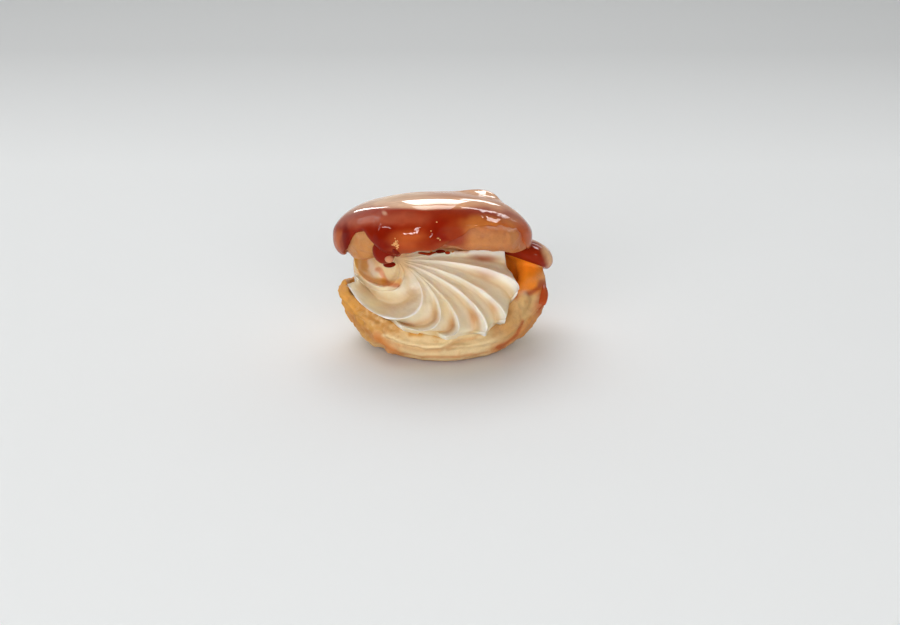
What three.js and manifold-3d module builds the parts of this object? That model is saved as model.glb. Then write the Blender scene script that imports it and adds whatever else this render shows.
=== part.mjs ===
// A cream puff. One choux shell, slit open round the front and left and still joined at the back right,
// holds one piped swirl of whipped cream. A poured caramel glaze covers its lid and has run down the back
// right onto the base.
// Millimetres, +Z up, the mouth towards -Y, the origin on the table under the middle of the puff.
// Azimuths are in degrees from +X, anticlockwise from above: 0 right, 90 back, 180 left, 270 front.
import * as THREE from "three";
import Module from "manifold-3d";

const wasm = await Module();
wasm.setup();

// ---------------------------------------------------------------- driving dimensions
// Lists with one value for every 30 degrees of azimuth start at the right, +X.
const BASE = {
  radius: [30.8, 29.6, 26.4, 24.8, 26.2, 29.2, 30.8, 26.8, 22.6, 21.0, 21.8, 25.2],
  contact: 13, // radius of the flat spot that it rests on
  // height of the outer edge of the rim, and how much higher its inner edge is
  lip: [17.5, 26.5, 32.0, 33.0, 30.5, 17.0, 18.0, 13.4, 8.2, 6.6, 7.2, 9.6],
  crumbRise: [3.5, 0.6, 0.4, 0.4, 0.4, 0.4, 0.5, 1.2, 2.4, 3.0, 3.8, 5.4],
  wall: [8.5, 8.5, 6.5, 6.0, 5.0, 3.0, 2.5, 3.0, 4.0, 4.6, 5.2, 6.6],
  floor: 3.0,
  rimRound: 0.6, // how round the top of the rim is across its width: 0 is straight, 1 is a quarter circle
  rimBulge: 0.35, // how high it stands as a share of the wall
  // shares of the surface from the middle of the floor: up the inner wall, then over the rim
  innerShare: 0.4,
  rimShare: 0.52,
  outerShare: 0.8, // the share of the rest that is the outer wall: what is left is the flat spot
};
const LID = {
  centre: [-2.2, -0.5, 38.5],
  tilt: 12, // degrees that the front is raised
  radius: [27.8, 25.4, 25.2, 24.8, 25.8, 27.6, 28.4, 26.6, 24.6, 24.0, 25.2, 27.4],
  crown: 6.6, // height of the top above the widest level
  belly: 10.2, // depth of the bottom edge below it
  hollow: 5.6, // how far the middle of the underside is drawn up
  droop: 3.2, // how much lower its left and right ends are at the top
  lowDroop: 5.2, // and at the bottom
  fullness: 0.78, // 1 is an ellipse, less is squarer
};
// The lower lobe of the lid at the back right, turned by degrees about X and then Y.
const LOBE = { centre: [24.5, 9.0, 25.0], radii: [7.2, 10.0, 3.4], turned: [-21, 20] };
// Soft bumps on the lid: azimuth and angle down from the top pole in degrees, width in degrees, height.
const LID_BUMPS = [
  { azimuth: 46, down: 47, width: 14, height: 3.4 },
  { azimuth: 15, down: 70, width: 18, height: -1.2 },
  { azimuth: 219, down: 100, width: 12, height: 1.0 },
  { azimuth: 212, down: 132, width: 17, height: 3.0 },
  { azimuth: 257, down: 104, width: 13, height: 1.4 },
  { azimuth: 279, down: 100, width: 10, height: -1.2 },
  { azimuth: 310, down: 96, width: 22, height: 1.2 },
  { azimuth: 141, down: 67, width: 19, height: 2.2 },
  { azimuth: 148, down: 85, width: 14, height: 0.8 },
];
const GLAZE = {
  thickness: 1.7,
  sunk: 0.9, // how far its underside starts below the choux before it is cut to fit
  clearance: 0.3, // gap to what it lies on
  // angle down from the top pole that it has run to, every 10 degrees of azimuth
  reach: [
    110, 106, 104, 104, 104, 100, 98, 102, 106, 102, 98, 100, 106, 108, 102, 98, 100, 108,
    114, 116, 108, 94, 88, 104, 128, 120, 116, 118, 110, 94, 82, 77, 78, 86, 98, 106,
  ],
  lobeReach: 118,
  // the drip that hangs from its edge over the cream
  drip: { centre: [-16.4, -19.4, 36.0], radii: [3.4, 2.4, 4.2] },
};
const CREAM = {
  centre: [3.6, 1.0, 26.8],
  tilt: 33.2, // degrees that the swirl leans towards the mouth
  crown: 3.5, // height of its peak above its widest ring
  peakShift: [-17.4, -3.7], // the peak's place off the middle of that ring
  depth: 26.0, // how far it fills the base below that ring
  ridge: 3.8, // height of a ridge above its groove at the ring
  lean: 1.0, // how far a crest leans over the groove beside it
  // each ridge: azimuth at which it ends, how far it has curled by then, how early on the way out it curls,
  // how far out it ends, how far the groove after it is notched there, as a share of that, and the groove's
  // place between the crests where it isn't the usual one
  ridges: [
    { end: 5.7, curl: 4, power: 1.0, reach: 14.6, notch: 0.13 },
    { end: 41, curl: 17, power: 0.8, reach: 16.0, notch: 0.13 },
    { end: 80, curl: 28, power: 0.8, reach: 16.5, notch: 0.13 },
    { end: 118, curl: 38, power: 0.8, reach: 18.5, notch: 0.13 },
    { end: 152, curl: 46, power: 0.9, reach: 25.0, notch: 0.06 },
    { end: 185.2, curl: 71, power: 1.2, reach: 30.0, notch: 0.02 },
    { end: 198, curl: 76, power: 1.8, reach: 30.6, notch: 0.13, groove: 0.6 },
    { end: 202.1, curl: 90.5, power: 0.85, reach: 33.5, notch: 0.13 },
    { end: 241, curl: 52.4, power: 0.74, reach: 30.9, notch: 0.13 },
    { end: 266.4, curl: 28, power: 0.79, reach: 30.6, notch: 0.13 },
    { end: 288.3, curl: 28.5, power: 1.35, reach: 30.4, notch: 0.13 },
    { end: 302.2, curl: 30.6, power: 1.4, reach: 28.4, notch: 0.13 },
    { end: 324.1, curl: 27.2, power: 0.89, reach: 23.2, notch: 0.13 },
  ],
  sink: 0.3, // how far the ring of grooves lies below the ridges' feet, as a share of the ridge
  swirlShare: 0.7, // share of the surface that shows: the rest goes down into the base
  fullWidth: 7, // ridges nearer each other than this have a shallower groove
  swell: 0.08, // how much it widens below the ring, where it fills the shell, as a share of the radius
  clearance: 0.3,
};
// Places across one ridge, from the crest before it to its own crest, with the groove between.
const ACROSS_RIDGE = [0, 0.12, 0.24, 0.36, 0.6, 0.82];
const GROOVE_AT = 0.36; // the groove's usual place
const STEEP_POWER = 1.2; // how hollow the steep side of a ridge is
const HOLLOW_POWER = 1.7; // how hollow its long face is

// ---------------------------------------------------------------- small helpers
const QUARTER = Math.PI / 2;
const X_AXIS = new THREE.Vector3(1, 0, 0);
const Y_AXIS = new THREE.Vector3(0, 1, 0);
const radians = THREE.MathUtils.degToRad;
const mix = THREE.MathUtils.lerp;

// A value that goes smoothly round the puff through evenly spaced ones.
function around(values, azimuth) {
  const n = values.length;
  const place = ((((azimuth / 360) % 1) + 1) % 1) * n;
  const i = Math.floor(place);
  const t = place - i;
  const [a, b, c, d] = [-1, 0, 1, 2].map((k) => values[(i + k + n) % n]);
  return b + 0.5 * t * (c - a + t * (2 * a - 5 * b + 4 * c - d + t * (3 * (b - c) + d - a)));
}

// The shorter way round from one azimuth to another, in degrees.
const apart = (a, b) => ((((a - b + 180) % 360) + 360) % 360) - 180;

// An even list of azimuths all the way round, in degrees.
const evenTurns = (count) => Array.from({ length: count }, (_, j) => (j / count) * 360);

// A closed surface from pole to pole. place(along, turn) gives its points for along from 0 to 1 and each of
// the turns, which go round it anticlockwise. It is grown outwards by that many millimetres.
function closedSurface(rings, turns, place, grown = 0) {
  const n = turns.length;
  const points = [place(0, turns[0])];
  for (let i = 1; i < rings; i++) points.push(...turns.map((turn) => place(i / rings, turn)));
  points.push(place(1, turns[0]));
  const at = (i, j) => (i === 0 ? 0 : i === rings ? points.length - 1 : 1 + (i - 1) * n + (j % n));
  const faces = [];
  for (let i = 0; i < rings; i++)
    for (let j = 0; j < n; j++) {
      if (i < rings - 1) faces.push(at(i, j), at(i + 1, j), at(i + 1, j + 1));
      if (i > 0) faces.push(at(i, j), at(i + 1, j + 1), at(i, j + 1));
    }
  const geometry = new THREE.BufferGeometry().setFromPoints(points).setIndex(faces);
  geometry.computeVertexNormals();
  const position = geometry.getAttribute("position");
  const normal = geometry.getAttribute("normal");
  for (let i = 0; i < position.array.length; i++) position.array[i] += normal.array[i] * grown;
  return geometry;
}

// A closed indexed geometry as a solid, and a solid as a geometry.
function solidOf(geometry) {
  return new wasm.Manifold(
    new wasm.Mesh({
      numProp: 3,
      vertProperties: new Float32Array(geometry.getAttribute("position").array),
      triVerts: new Uint32Array(geometry.index.array),
    }),
  );
}
function geometryOf(solid) {
  const mesh = solid.getMesh();
  const points = new Float32Array(mesh.numVert * 3);
  for (let i = 0; i < mesh.numVert; i++)
    points.set(mesh.vertProperties.subarray(i * mesh.numProp, i * mesh.numProp + 3), i * 3);
  const geometry = new THREE.BufferGeometry();
  geometry.setAttribute("position", new THREE.BufferAttribute(points, 3));
  geometry.setIndex(new THREE.BufferAttribute(mesh.triVerts, 1));
  return geometry;
}
const largest = (solid) => solid.decompose().sort((a, b) => b.volume() - a.volume())[0];

// ---------------------------------------------------------------- the choux base
// From the middle of the floor out and up the inner wall, over the rim, and down the outer wall to the table.
function basePoint(along, azimuth) {
  const outer = around(BASE.radius, azimuth);
  const lip = around(BASE.lip, azimuth);
  const wall = around(BASE.wall, azimuth);
  const innerTop = lip + around(BASE.crumbRise, azimuth);
  let r, z;
  if (along <= BASE.innerShare) {
    const a = (along / BASE.innerShare) * QUARTER;
    r = (outer - wall) * Math.sin(a);
    z = mix(innerTop, BASE.floor, Math.cos(a));
  } else if (along < BASE.rimShare) {
    const t = (along - BASE.innerShare) / (BASE.rimShare - BASE.innerShare);
    r = outer - wall + wall * mix(t, 1 - Math.cos(t * QUARTER), BASE.rimRound);
    z = mix(innerTop, lip, t * t) + BASE.rimBulge * wall * Math.sin(t * Math.PI);
  } else {
    const t = (along - BASE.rimShare) / (1 - BASE.rimShare);
    if (t < BASE.outerShare) {
      const a = (1 - t / BASE.outerShare) * QUARTER;
      r = mix(BASE.contact, outer, Math.sin(a));
      z = lip * (1 - Math.cos(a));
    } else {
      r = (BASE.contact * (1 - t)) / (1 - BASE.outerShare);
      z = 0;
    }
  }
  return new THREE.Vector3(r * Math.cos(radians(azimuth)), r * Math.sin(radians(azimuth)), z);
}

// ---------------------------------------------------------------- the choux lid
function lidPoint(along, azimuth) {
  const down = along * Math.PI;
  const squared = (x) => Math.sign(x) * Math.abs(x) ** LID.fullness;
  let reach = squared(Math.sin(down)) * around(LID.radius, azimuth);
  let height = squared(Math.cos(down)) * (down < QUARTER ? LID.crown : LID.belly);
  const out = reach / around(LID.radius, azimuth);
  if (down > QUARTER) height += LID.hollow * (1 - out * out);
  for (const bump of LID_BUMPS) {
    const across = apart(azimuth, bump.azimuth) * Math.sin(down);
    const off = Math.hypot(across, along * 180 - bump.down) / bump.width;
    const swell = bump.height * Math.exp(-off * off);
    reach += swell * Math.sin(down);
    height += swell * Math.cos(down);
  }
  const x = reach * Math.cos(radians(azimuth));
  const y = reach * Math.sin(radians(azimuth));
  height -= mix(LID.droop, LID.lowDroop, along) * (x / LID.radius[0]) ** 2;
  return new THREE.Vector3(x, y, height)
    .applyAxisAngle(X_AXIS, -radians(LID.tilt))
    .add(new THREE.Vector3(...LID.centre));
}

// The surface of an egg of given radii about its centre.
function egg({ centre, radii, turned = [0, 0] }) {
  return (along, azimuth) =>
    new THREE.Vector3()
      .setFromSphericalCoords(1, along * Math.PI, radians(azimuth + 90))
      .applyAxisAngle(X_AXIS, QUARTER)
      .multiply(new THREE.Vector3(...radii))
      .applyAxisAngle(X_AXIS, radians(turned[0]))
      .applyAxisAngle(Y_AXIS, radians(turned[1]))
      .add(new THREE.Vector3(...centre));
}
const lobePoint = egg(LOBE);

// The whole shell, grown by a clearance where it makes room for what lies on it.
function shellSolid(grown) {
  const base = solidOf(closedSurface(22, evenTurns(42), basePoint, grown));
  const lid = solidOf(closedSurface(18, evenTurns(48), lidPoint, grown));
  const lobe = solidOf(closedSurface(8, evenTurns(16), lobePoint, grown));
  return base.add(lid).add(lobe);
}

// ---------------------------------------------------------------- the cream
const creamTurn = new THREE.Matrix4().makeRotationX(radians(CREAM.tilt));

// Height of the section at a place between two crests: a steep side, the groove, then a long hollow face.
function ridgeShare(across, groove = GROOVE_AT) {
  if (across < groove) return (1 - across / groove) ** STEEP_POWER;
  return ((across - groove) / (1 - groove)) ** HOLLOW_POWER;
}

// The lines that run out over the swirl, several across every ridge, in order round it.
function ridgeLines() {
  return CREAM.ridges.flatMap((ridge, k) => {
    const wrapped = k + 1 === CREAM.ridges.length;
    const next = wrapped ? { ...CREAM.ridges[0], end: CREAM.ridges[0].end + 360 } : CREAM.ridges[k + 1];
    return ACROSS_RIDGE.map((across) => ({ across, ridge, next })).reverse();
  });
}

// Azimuth of a ridge at a share of the way out from the peak.
const turnedAt = (ridge, share) => ridge.end + ridge.curl * (1 - share) ** ridge.power;

function creamPoint(along, { across, ridge, next }) {
  const share = Math.min(1, along / CREAM.swirlShare);
  const below = Math.max(0, (along - CREAM.swirlShare) / (1 - CREAM.swirlShare)) * QUARTER;
  const out = 1 - (1 - share) ** 2;
  const gap = radians(turnedAt(next, share) - turnedAt(ridge, share));
  const turned = radians(mix(turnedAt(next, share), turnedAt(ridge, share), across));
  const length = mix(next.reach, ridge.reach, across);
  const deep = Math.min(1, (gap * length * out) / CREAM.fullWidth);
  const crest = below ? 0 : out * mix(1, ridgeShare(across, ridge.groove), deep);
  const swell = 1 + CREAM.swell * Math.sin(2 * below);
  const reach = length * (1 - ridge.notch * (1 - crest)) * out * swell * Math.sqrt(Math.cos(below));
  const lean = CREAM.lean * crest;
  const height = CREAM.crown * (1 - out * out) - CREAM.depth * Math.sin(below);
  const point = new THREE.Vector3(
    CREAM.peakShift[0] * (1 - out) + reach * Math.cos(turned) + lean * Math.sin(turned),
    CREAM.peakShift[1] * (1 - out) + reach * Math.sin(turned) - lean * Math.cos(turned),
    height + CREAM.ridge * (crest - CREAM.sink * out * Math.cos(below)),
  );
  return point.applyMatrix4(creamTurn).add(new THREE.Vector3(...CREAM.centre));
}

function creamSolid(grown) {
  return solidOf(closedSurface(22, ridgeLines(), creamPoint, grown));
}

// ---------------------------------------------------------------- the glaze
// A point lifted off a surface along its normal.
const STEP = 0.002;
function lifted(surface, along, azimuth, by) {
  const from = THREE.MathUtils.clamp(along, STEP, 1 - 2 * STEP);
  const here = surface(from, azimuth);
  const onward = surface(from + STEP, azimuth).sub(here);
  const round = surface(from, azimuth + STEP * 180).sub(here);
  return surface(along, azimuth).addScaledVector(onward.cross(round).normalize(), by);
}

// A sheet of glaze on a surface, out from its top to an edge with a full round lip and back under itself.
const SHEET_TOP = 0.72; // the share of it that is the top face
const LIP_POWER = 8; // how late towards the edge the lip rounds over
function sheet(surface, edgeAt, rings, turns) {
  return solidOf(
    closedSurface(rings, turns, (along, azimuth) => {
      const top = along < SHEET_TOP;
      const share = top ? along / SHEET_TOP : (1 - along) / (1 - SHEET_TOP);
      const lip = top ? Math.sqrt(1 - share ** LIP_POWER) : 0;
      return lifted(surface, edgeAt(azimuth) * share, azimuth, top ? GLAZE.thickness * lip : -GLAZE.sunk);
    }),
  );
}

function glazeSolid() {
  const lid = sheet(lidPoint, (azimuth) => around(GLAZE.reach, azimuth) / 180, 24, evenTurns(60));
  const lobe = sheet(lobePoint, () => GLAZE.lobeReach / 180, 14, evenTurns(20));
  const drip = solidOf(closedSurface(8, evenTurns(12), egg(GLAZE.drip)));
  return lid.add(lobe).add(drip);
}

// ---------------------------------------------------------------- the puff
const shell = shellSolid(0);
const cream = largest(creamSolid(0).subtract(shellSolid(CREAM.clearance)));
const glaze = largest(
  glazeSolid().subtract(shellSolid(GLAZE.clearance)).subtract(creamSolid(GLAZE.clearance).add(cream)),
);

const puff = new THREE.Group();
puff.name = "cream_puff";
function add(name, solid, color, roughness) {
  const material = new THREE.MeshStandardMaterial({ color, roughness, metalness: 0 });
  const mesh = new THREE.Mesh(geometryOf(solid), material);
  mesh.name = name;
  puff.add(mesh);
}
add("choux_shell", shell, 0xc98f4e, 0.75);
add("cream_swirl", cream, 0xe9dcc2, 0.55);
add("caramel_glaze", glaze, 0x8f3a18, 0.15);

const middle = new THREE.Box3().setFromObject(puff).getCenter(new THREE.Vector3());
puff.position.set(-middle.x, -middle.y, 0);

export default puff;
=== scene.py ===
"""A cream puff: a choux shell slit open at the front, piped whipped cream and a poured caramel glaze.

Shapes are worked out in millimetres, in the frame of the CAD part before it is centred, with the mouth
towards -Y. Azimuths are in degrees from +X, anticlockwise from above. Places on the front are given as
(across, up): millimetres to the right of and above the puff's foot, as they are seen from the camera.
"""
import math

import bpy
import numpy as np
from mathutils import Matrix, Vector
from mathutils.bvhtree import BVHTree


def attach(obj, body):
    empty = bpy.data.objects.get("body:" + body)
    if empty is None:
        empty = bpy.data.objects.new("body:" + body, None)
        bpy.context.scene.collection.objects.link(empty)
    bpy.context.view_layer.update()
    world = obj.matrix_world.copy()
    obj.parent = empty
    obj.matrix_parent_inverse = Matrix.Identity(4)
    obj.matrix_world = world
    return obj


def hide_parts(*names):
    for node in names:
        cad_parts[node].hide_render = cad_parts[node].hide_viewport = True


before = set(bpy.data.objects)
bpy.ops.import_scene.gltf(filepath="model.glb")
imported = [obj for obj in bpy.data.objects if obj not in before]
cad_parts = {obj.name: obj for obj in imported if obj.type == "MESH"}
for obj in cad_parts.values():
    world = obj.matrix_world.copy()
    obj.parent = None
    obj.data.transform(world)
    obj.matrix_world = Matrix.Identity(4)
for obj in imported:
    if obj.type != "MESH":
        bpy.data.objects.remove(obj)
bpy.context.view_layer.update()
MM = 0.001
CENTRED = np.array([-0.447, 0.507, 0.0])  # how far the CAD part is moved to stand over the origin

# ---------------------------------------------------------------- driving dimensions
# Lists with a value for every 30 degrees of azimuth start at the right, +X.
BASE_RADIUS = [30.8, 29.6, 26.4, 24.8, 26.2, 29.2, 30.8, 26.8, 22.6, 21.0, 21.8, 25.2]
BASE_LIP = [17.5, 26.5, 32.0, 33.0, 30.5, 17.0, 18.0, 13.4, 8.2, 6.6, 7.2, 9.6]
CRUMB_RISE = [3.5, 0.6, 0.4, 0.4, 0.4, 0.4, 0.5, 1.2, 2.4, 3.0, 3.8, 5.4]
BASE_WALL = [8.5, 8.5, 6.5, 6.0, 5.0, 3.0, 2.5, 3.0, 4.0, 4.6, 5.2, 6.6]
BASE_CONTACT, BASE_FLOOR = 13.0, 3.0
LID_CENTRE = np.array([-2.2, -0.5, 38.5])
LID_TILT = 12
LID_RADIUS = [27.8, 25.4, 25.2, 24.8, 25.8, 27.6, 28.4, 26.6, 24.6, 24.0, 25.2, 27.4]
LID_CROWN, LID_BELLY, LID_HOLLOW, LID_FULLNESS = 6.6, 10.2, 5.6, 0.78
LID_DROOP, LID_LOW_DROOP = 3.2, 5.2
LOBE_CENTRE, LOBE_RADII, LOBE_TURNED = (24.5, 9.0, 25.0), (7.2, 10.0, 3.4), (-21, 20)
# azimuth, angle down from the top pole and width in degrees, height
LID_BUMPS = [
    (46, 47, 14, 3.4), (15, 70, 18, -1.2), (219, 100, 12, 1.0), (212, 132, 17, 3.0), (257, 104, 13, 1.4),
    (279, 100, 10, -1.2), (310, 96, 22, 1.2), (141, 67, 19, 2.2), (148, 85, 14, 0.8),
]
# angle down from the top pole that the glaze has run to, every 10 degrees of azimuth
GLAZE_REACH = [110, 106, 104, 104, 104, 100, 98, 102, 106, 102, 98, 100, 106, 108, 102, 98, 100, 108,
               114, 116, 108, 94, 88, 104, 128, 120, 116, 118, 110, 94, 82, 77, 78, 86, 98, 106]
GLAZE_THICKNESS, GLAZE_SUNK, LOBE_REACH = 1.7, 0.9, 118
DRIP_CENTRE, DRIP_RADII = np.array([-16.4, -19.4, 36.0]), np.array([3.4, 2.4, 4.2])
CREAM_CENTRE = np.array([3.6, 1.0, 26.8])
CREAM_TILT, CREAM_CROWN, CREAM_DEPTH = 33.2, 3.5, 26.0
PEAK_SHIFT = np.array([-17.4, -3.7])
RIDGE, LEAN, SWELL, FULL_WIDTH = 3.8, 1.0, 0.08, 7
NOTCH, GROOVE = 0.13, 0.36  # of most ridges
# each ridge: azimuth at which it ends, how far it has curled by then, how early, how far out it ends, how far
# the groove after it is notched there, and the groove's place from the next crest, over its steep side, to
# this one
RIDGES = np.array([
    (5.7, 4, 1.0, 14.6, NOTCH, GROOVE),
    (41, 17, 0.8, 16.0, NOTCH, GROOVE),
    (80, 28, 0.8, 16.5, NOTCH, GROOVE),
    (118, 38, 0.8, 18.5, NOTCH, GROOVE),
    (152, 46, 0.9, 25.0, 0.06, GROOVE),
    (185.2, 71, 1.2, 30.0, 0.02, GROOVE),
    (198, 76, 1.8, 30.6, NOTCH, 0.6),
    (202.1, 90.5, 0.85, 33.5, NOTCH, GROOVE),
    (241, 52.4, 0.74, 30.9, NOTCH, GROOVE),
    (266.4, 28, 0.79, 30.6, NOTCH, GROOVE),
    (288.3, 28.5, 1.35, 30.4, NOTCH, GROOVE),
    (302.2, 30.6, 1.4, 28.4, NOTCH, GROOVE),
    (324.1, 27.2, 0.89, 23.2, NOTCH, GROOVE),
])


# ---------------------------------------------------------------- small helpers
def srgb(red, green, blue):
    """A colour read as 0 to 255, in linear light."""
    c = np.array([red, green, blue]) / 255
    return np.where(c <= 0.04045, c / 12.92, ((c + 0.055) / 1.055) ** 2.4)


def mix(a, b, share):
    """From a to b by a share, which may be one value for each point where a and b are colours."""
    share = np.asarray(share, float)
    if np.ndim(a) and np.shape(a)[-1:] == (3,) and share.ndim:
        share = share[..., None]
    return a + (b - a) * share


def ease(low, high, value):
    """0 at low and 1 at high, with a smooth rise between them. Low may be the larger of the two."""
    t = np.clip((value - low) / (high - low), 0, 1)
    return t * t * (3 - 2 * t)


def around(values, azimuth):
    """A value that goes smoothly round the puff through evenly spaced ones."""
    values = np.asarray(values, float)
    n = len(values)
    place = np.mod(np.asarray(azimuth, float) / 360, 1) * n
    i = np.floor(place).astype(int)
    t = place - i
    a, b, c, d = (values[(i + k) % n] for k in (-1, 0, 1, 2))
    return b + 0.5 * t * (c - a + t * (2 * a - 5 * b + 4 * c - d + t * (3 * (b - c) + d - a)))


HASH_STEPS = [np.uint64(k) for k in (73856093, 19349663, 83492791)]  # large primes, one for each axis
HASH_MIX, HASH_SEED = np.uint64(1274126177), 2654435


def noise(points, size, seed=0):
    """Smooth random values from -1 to 1 with bumps of about that size."""
    p = np.asarray(points, float) / size + 1000
    cell = np.floor(p).astype(np.int64)
    t = p - cell
    t = t * t * t * (t * (t * 6 - 15) + 10)
    total = np.zeros(len(p))
    for corner in range(8):
        step = np.array([corner & 1, corner >> 1 & 1, corner >> 2])
        x, y, z = (axis * k for axis, k in zip((cell + step).astype(np.uint64).T, HASH_STEPS))
        h = x ^ y ^ z ^ np.uint64(seed * HASH_SEED)
        h = (h ^ (h >> np.uint64(13))) * HASH_MIX
        h = (h ^ (h >> np.uint64(16))) & np.uint64(0xFFFF)
        weight = np.prod(np.where(step, t, 1 - t), axis=1)
        total += weight * (h.astype(float) / 32767.5 - 1)
    return total


def bumps(points, height, size, octaves, seed):
    """Noise as relief of a height in millimetres."""
    return height * fbm(points, size, octaves, seed)


def patches(points, strength, grows, size, octaves, seed):
    """A share for patches of about a size, that grows from 0 to a strength between two values of noise."""
    return strength * ease(*grows, fbm(points, size, octaves, seed))


def bell(value, width):
    """1 at nothing, and down to almost 0 at twice a width."""
    return np.exp(-((value / width) ** 2))


def azimuth_of(points):
    return np.degrees(np.arctan2(points[:, 1], points[:, 0]))


def noise_shift(points, size, seed):
    """A random shift of each point in all three directions."""
    return np.stack([noise(points, size, seed + k) for k in range(3)], 1)


def fbm(points, size, octaves=3, seed=0):
    """Noise with finer noise on it."""
    return sum(noise(points, size / 2**k, seed + k) * 0.5**k for k in range(octaves))


# ---------------------------------------------------------------- the view from the front
EYE = np.array([2.118, -426.248, 173.184])
EYE_DOWN = math.radians(21)
SENSOR, FRAME_WIDTH, FOCAL_PIXELS = 36, 900, 1520
FOCAL = FOCAL_PIXELS / FRAME_WIDTH * SENSOR  # the lens in millimetres
FORWARD = np.array([0, math.cos(EYE_DOWN), -math.sin(EYE_DOWN)])
UPWARD = np.array([0, math.sin(EYE_DOWN), math.cos(EYE_DOWN)])


def on_front(points):
    """Where points show from the camera: millimetres across and up from the foot, at the foot's distance."""
    away = points - EYE
    depth = away @ FORWARD
    at_foot = (0 - EYE) @ FORWARD
    across = away[:, 0] / depth * at_foot + EYE[0]
    up = (away @ UPWARD) / depth * at_foot - (0 - EYE) @ UPWARD
    return np.stack([across, up], 1)


def place_seen(tree, across, up):
    """The point of a mesh that shows at a place on the front, and the mesh's normal there."""
    foot = 0 - EYE
    aim = FORWARD * (foot @ FORWARD) + np.array([across - EYE[0], 0, 0]) + UPWARD * (up + foot @ UPWARD)
    point, normal, _, _ = tree.ray_cast(Vector(EYE), Vector(aim))
    return np.array(point), np.array(normal)


def wavy_on_front(p, *waves):
    """Where points show on the front, shifted at random, so that what is painted there has uneven edges.

    A wave is how far they are shifted, the size of its bumps and its seed.
    """
    return on_front(sum((by * noise_shift(p, size, seed) for by, size, seed in waves), start=p))


def facing(normal, low, high):
    """1 where a surface faces the camera and 0 where it faces away."""
    return ease(low, high, -(normal @ FORWARD))


def spot(seen, middle, radii, turn=0, soft=0.8):
    """1 inside an oval on the front and 0 outside it, with a soft edge that is a share of its size."""
    a = math.radians(turn)
    d = seen - np.array(middle)
    x = (d[:, 0] * math.cos(a) + d[:, 1] * math.sin(a)) / radii[0]
    y = (d[:, 1] * math.cos(a) - d[:, 0] * math.sin(a)) / radii[1]
    return 1 - ease(1 - soft, 1 + soft, np.hypot(x, y))


def stroke(seen, path, width, soft=0.9):
    """1 along a path on the front and 0 away from it."""
    nearest = np.full(len(seen), np.inf)
    for a, b in zip(path, path[1:]):
        a, b = np.array(a, float), np.array(b, float)
        t = np.clip(((seen - a) @ (b - a)) / ((b - a) @ (b - a)), 0, 1)
        nearest = np.minimum(nearest, np.linalg.norm(seen - a - t[:, None] * (b - a), axis=1))
    return 1 - ease(width / 2 * (1 - soft), width / 2 * (1 + soft), nearest)


# ---------------------------------------------------------------- meshes
def closed_grid(rings, turns, place):
    """Points and faces of a surface closed from pole to pole. place(along, turn) takes arrays."""
    n = turns
    along = np.repeat(np.arange(1, rings) / rings, n)
    turn = np.tile(np.arange(n), rings - 1)
    points = np.concatenate([place(np.zeros(1), np.zeros(1, int)), place(along, turn),
                             place(np.ones(1), np.zeros(1, int))])
    last = len(points) - 1
    j = np.arange(n)
    k = (j + 1) % n
    faces = [(0, 1 + a, 1 + b) for a, b in zip(j, k)]
    for i in range(rings - 2):
        row, under = 1 + i * n, 1 + (i + 1) * n
        faces += np.stack([row + j, under + j, under + k, row + k], 1).tolist()
    row = 1 + (rings - 2) * n
    faces += [(row + a, last, row + b) for a, b in zip(j, k)]
    return points, faces


def joined(*parts):
    """Several sets of points and faces as one."""
    points, faces, start = [], [], 0
    for p, f in parts:
        points.append(p)
        faces += [tuple(int(i) + start for i in face) for face in f]
        start += len(p)
    return np.concatenate(points), faces


def new_object(name, points, faces):
    mesh = bpy.data.meshes.new(name)
    mesh.from_pydata(((points + CENTRED) * MM).tolist(), [], [tuple(f) for f in faces])
    obj = bpy.data.objects.new(name, mesh)
    bpy.context.scene.collection.objects.link(obj)
    return obj


def applied(obj):
    """Applies all of an object's modifiers."""
    evaluated = obj.evaluated_get(bpy.context.evaluated_depsgraph_get())
    mesh = bpy.data.meshes.new_from_object(evaluated)
    obj.modifiers.clear()
    obj.data = mesh
    return obj


def points_of(obj):
    """An object's points in millimetres."""
    values = np.empty(len(obj.data.vertices) * 3, np.float32)
    obj.data.vertices.foreach_get("co", values)
    return values.reshape(-1, 3).astype(float) / MM - CENTRED


def normals_of(obj):
    values = np.empty(len(obj.data.vertices) * 3, np.float32)
    obj.data.vertices.foreach_get("normal", values)
    return values.reshape(-1, 3).astype(float)


def move_points(obj, points):
    obj.data.vertices.foreach_set("co", ((points + CENTRED) * MM).astype(np.float32).ravel())
    obj.data.update()


def merged_by_voxels(obj, voxel, smoothing):
    """The union of an object's overlapping closed forms, with its creases softened."""
    remesh = obj.modifiers.new("join", "REMESH")
    remesh.mode = "VOXEL"
    remesh.voxel_size = voxel * MM
    soften = obj.modifiers.new("soften", "SMOOTH")
    soften.iterations = smoothing
    return applied(obj)


def colour_attribute(obj, name, colours):
    layer = obj.data.attributes.new(name, "FLOAT_COLOR", "POINT")
    rgba = np.ones((len(colours), 4), np.float32)
    rgba[:, :3] = np.clip(colours, 0, 1)
    layer.data.foreach_set("color", rgba.ravel())


def value_attribute(obj, name, values):
    layer = obj.data.attributes.new(name, "FLOAT", "POINT")
    layer.data.foreach_set("value", np.asarray(values, np.float32))


def as_piece(obj, material, node):
    """Gives a finished mesh its material and its place in the frame, where it stands for a CAD node."""
    obj.data.materials.clear()
    obj.data.materials.append(material)
    obj.data.polygons.foreach_set("use_smooth", np.ones(len(obj.data.polygons), bool))
    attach(obj, "root")
    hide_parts(node)
    return obj


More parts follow.
